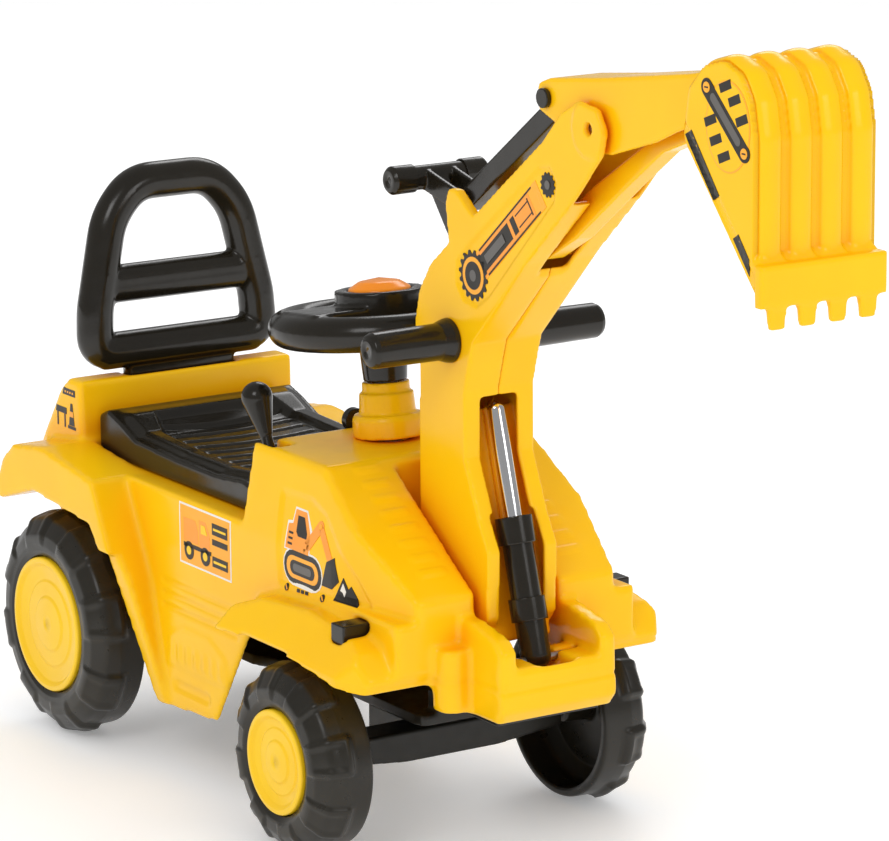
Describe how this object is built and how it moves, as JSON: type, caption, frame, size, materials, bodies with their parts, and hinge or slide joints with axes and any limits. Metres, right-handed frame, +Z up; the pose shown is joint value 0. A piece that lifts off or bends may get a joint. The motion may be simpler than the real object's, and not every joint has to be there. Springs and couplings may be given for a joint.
{
  "type": "ride on toy digger",
  "caption": "Push-along ride-on toy digger with a lidded seat, backrest, steered front axle, and a tilting boom with stick and bucket worked by a hand lever.",
  "frame": {"origin": "on the floor under the centre of the whole toy", "axes": "+Z up, the front (bucket) faces -Y, +X is the driver's left"},
  "size_m": [0.2982, 0.9279, 0.6352],
  "materials": {
    "yellow_plastic": "glossy moulded",
    "black_plastic": "glossy moulded",
    "orange_plastic": "glossy moulded",
    "chrome": "polished",
    "steel": "plain drawn"
  },
  "bodies": {
    "rolling_body": {"body_shell": "yellow_plastic", "storage_bin": "yellow_plastic", "chassis_pan": "black_plastic", "column_collar": "yellow_plastic", "backrest": "black_plastic", "seat_hinge_pins": "steel", "side_peg_left": "black_plastic", "side_peg_right": "black_plastic", "pan_screws": "steel", "rear_axle": "steel", "rear_axle_nuts": "steel", "gear_lever_pin": "steel", "boom_pivot_pin": "steel", "cylinder_foot_pin": "steel"},
    "seat": {"seat_lid": "black_plastic"},
    "steering": {"steering_wheel": "black_plastic", "column_sleeve": "black_plastic", "steering_column": "steel", "front_axle_beam": "black_plastic", "front_axle": "steel", "front_axle_nuts": "steel", "horn_spring": "steel"},
    "horn": {"horn_button": "orange_plastic"},
    "gear": {"gear_lever": "black_plastic"},
    "key": {"key_knob": "black_plastic"},
    "rear_left": {"rear_wheel_left": "black_plastic", "rear_hub_left": "yellow_plastic"},
    "rear_right": {"rear_wheel_right": "black_plastic", "rear_hub_right": "yellow_plastic"},
    "front_left": {"front_wheel_left": "black_plastic", "front_hub_left": "yellow_plastic"},
    "front_right": {"front_wheel_right": "black_plastic", "front_hub_right": "yellow_plastic"},
    "boom": {"boom_shell_left": "yellow_plastic", "boom_shell_right": "yellow_plastic", "lever_pivot_pin": "steel", "link_foot_pin": "steel", "stick_pivot_pin": "steel", "grip_tube": "steel", "lower_grip_left": "black_plastic", "lower_grip_right": "black_plastic"},
    "lever": {"hand_lever": "black_plastic", "upper_grip_left": "black_plastic", "upper_grip_right": "black_plastic", "rod_joint_pin": "steel"},
    "rod": {"control_rod": "black_plastic"},
    "stick_body": {"stick": "yellow_plastic", "stick_tail_pin": "black_plastic", "bucket_pin": "steel"},
    "bucket_body": {"bucket": "yellow_plastic", "link_head_pin": "steel"},
    "link": {"bucket_link": "yellow_plastic"},
    "barrel": {"cylinder_barrel": "black_plastic", "cylinder_ring_upper": "black_plastic", "cylinder_ring_lower": "black_plastic"},
    "piston": {"cylinder_rod": "chrome"}
  },
  "joints": [
    {"name": "seat_lift", "type": "hinge", "parent": "rolling_body", "child": "seat", "pos_m": [0, 0.133, 0.238], "axis": [1, 0, 0], "range_deg": [0, 65]},
    {"name": "steer", "type": "hinge", "parent": "rolling_body", "child": "steering", "pos_m": [0, 0.071, 0.285], "axis": [0, 0.1045, 0.9945], "range_deg": [-15, 15]},
    {"name": "horn_press", "type": "slide", "parent": "steering", "child": "horn", "axis": [0, -0.1045, -0.9945], "range_m": [0, 0.003], "stiffness_N_per_m": 600, "springref_m": -0.002},
    {"name": "gear_shift", "type": "hinge", "parent": "rolling_body", "child": "gear", "pos_m": [-0.08, 0.109, 0.27], "axis": [1, 0, 0], "range_deg": [-8, 8]},
    {"name": "key_turn", "type": "hinge", "parent": "rolling_body", "child": "key", "pos_m": [0, 0.117, 0.27], "axis": [0, 1, 0], "range_deg": [-35, 35]},
    {"name": "rear_left_spin", "type": "hinge", "parent": "rolling_body", "child": "rear_left", "pos_m": [0.115, 0.374, 0.09], "axis": [1, 0, 0], "continuous": true},
    {"name": "rear_right_spin", "type": "hinge", "parent": "rolling_body", "child": "rear_right", "pos_m": [-0.115, 0.374, 0.09], "axis": [1, 0, 0], "continuous": true},
    {"name": "front_left_spin", "type": "hinge", "parent": "steering", "child": "front_left", "pos_m": [0.124, 0, 0.0725], "axis": [1, 0, 0], "continuous": true},
    {"name": "front_right_spin", "type": "hinge", "parent": "steering", "child": "front_right", "pos_m": [-0.124, 0, 0.0725], "axis": [1, 0, 0], "continuous": true},
    {"name": "boom_tilt", "type": "hinge", "parent": "rolling_body", "child": "boom", "pos_m": [0, -0.053, 0.2], "axis": [1, 0, 0], "range_deg": [-1.5, 18]},
    {"name": "lever_tilt", "type": "hinge", "parent": "boom", "child": "lever", "pos_m": [0, -0.058, 0.42], "axis": [1, 0, 0], "range_deg": [-5, 10]},
    {"name": "stick_tilt", "type": "hinge", "parent": "boom", "child": "stick_body", "pos_m": [0, -0.239, 0.562], "axis": [1, 0, 0], "range_deg": [-5.65, 11.25]},
    {"name": "rod_swing", "type": "hinge", "parent": "stick_body", "child": "rod", "pos_m": [0, -0.176, 0.575], "axis": [1, 0, 0], "range_deg": [-16.25, 8.15]},
    {"name": "bucket_curl", "type": "hinge", "parent": "stick_body", "child": "bucket_body", "pos_m": [0, -0.388, 0.606], "axis": [1, 0, 0], "range_deg": [-22.55, 11.3]},
    {"name": "link_swing", "type": "hinge", "parent": "boom", "child": "link", "pos_m": [0, -0.143, 0.463], "axis": [1, 0, 0], "range_deg": [-3.55, 7.05]},
    {"name": "barrel_swing", "type": "hinge", "parent": "rolling_body", "child": "barrel", "pos_m": [0, -0.127, 0.158], "axis": [1, 0, 0], "range_deg": [-1.08, 12.43]},
    {"name": "piston_slide", "type": "slide", "parent": "barrel", "child": "piston", "axis": [0, 0.2819, 0.9595], "range_m": [-0.02092, 0.0022]}
  ],
  "couplings": [
    {"joint": "stick_tilt", "follows": "lever_tilt", "ratio": 1.12},
    {"joint": "rod_swing", "follows": "lever_tilt", "ratio": -1.62},
    {"joint": "bucket_curl", "follows": "lever_tilt", "ratio": -2.25},
    {"joint": "link_swing", "follows": "lever_tilt", "ratio": 0.7},
    {"joint": "barrel_swing", "follows": "boom_tilt", "ratio": 0.688},
    {"joint": "piston_slide", "follows": "boom_tilt", "m_per_rad": -0.065}
  ]
}
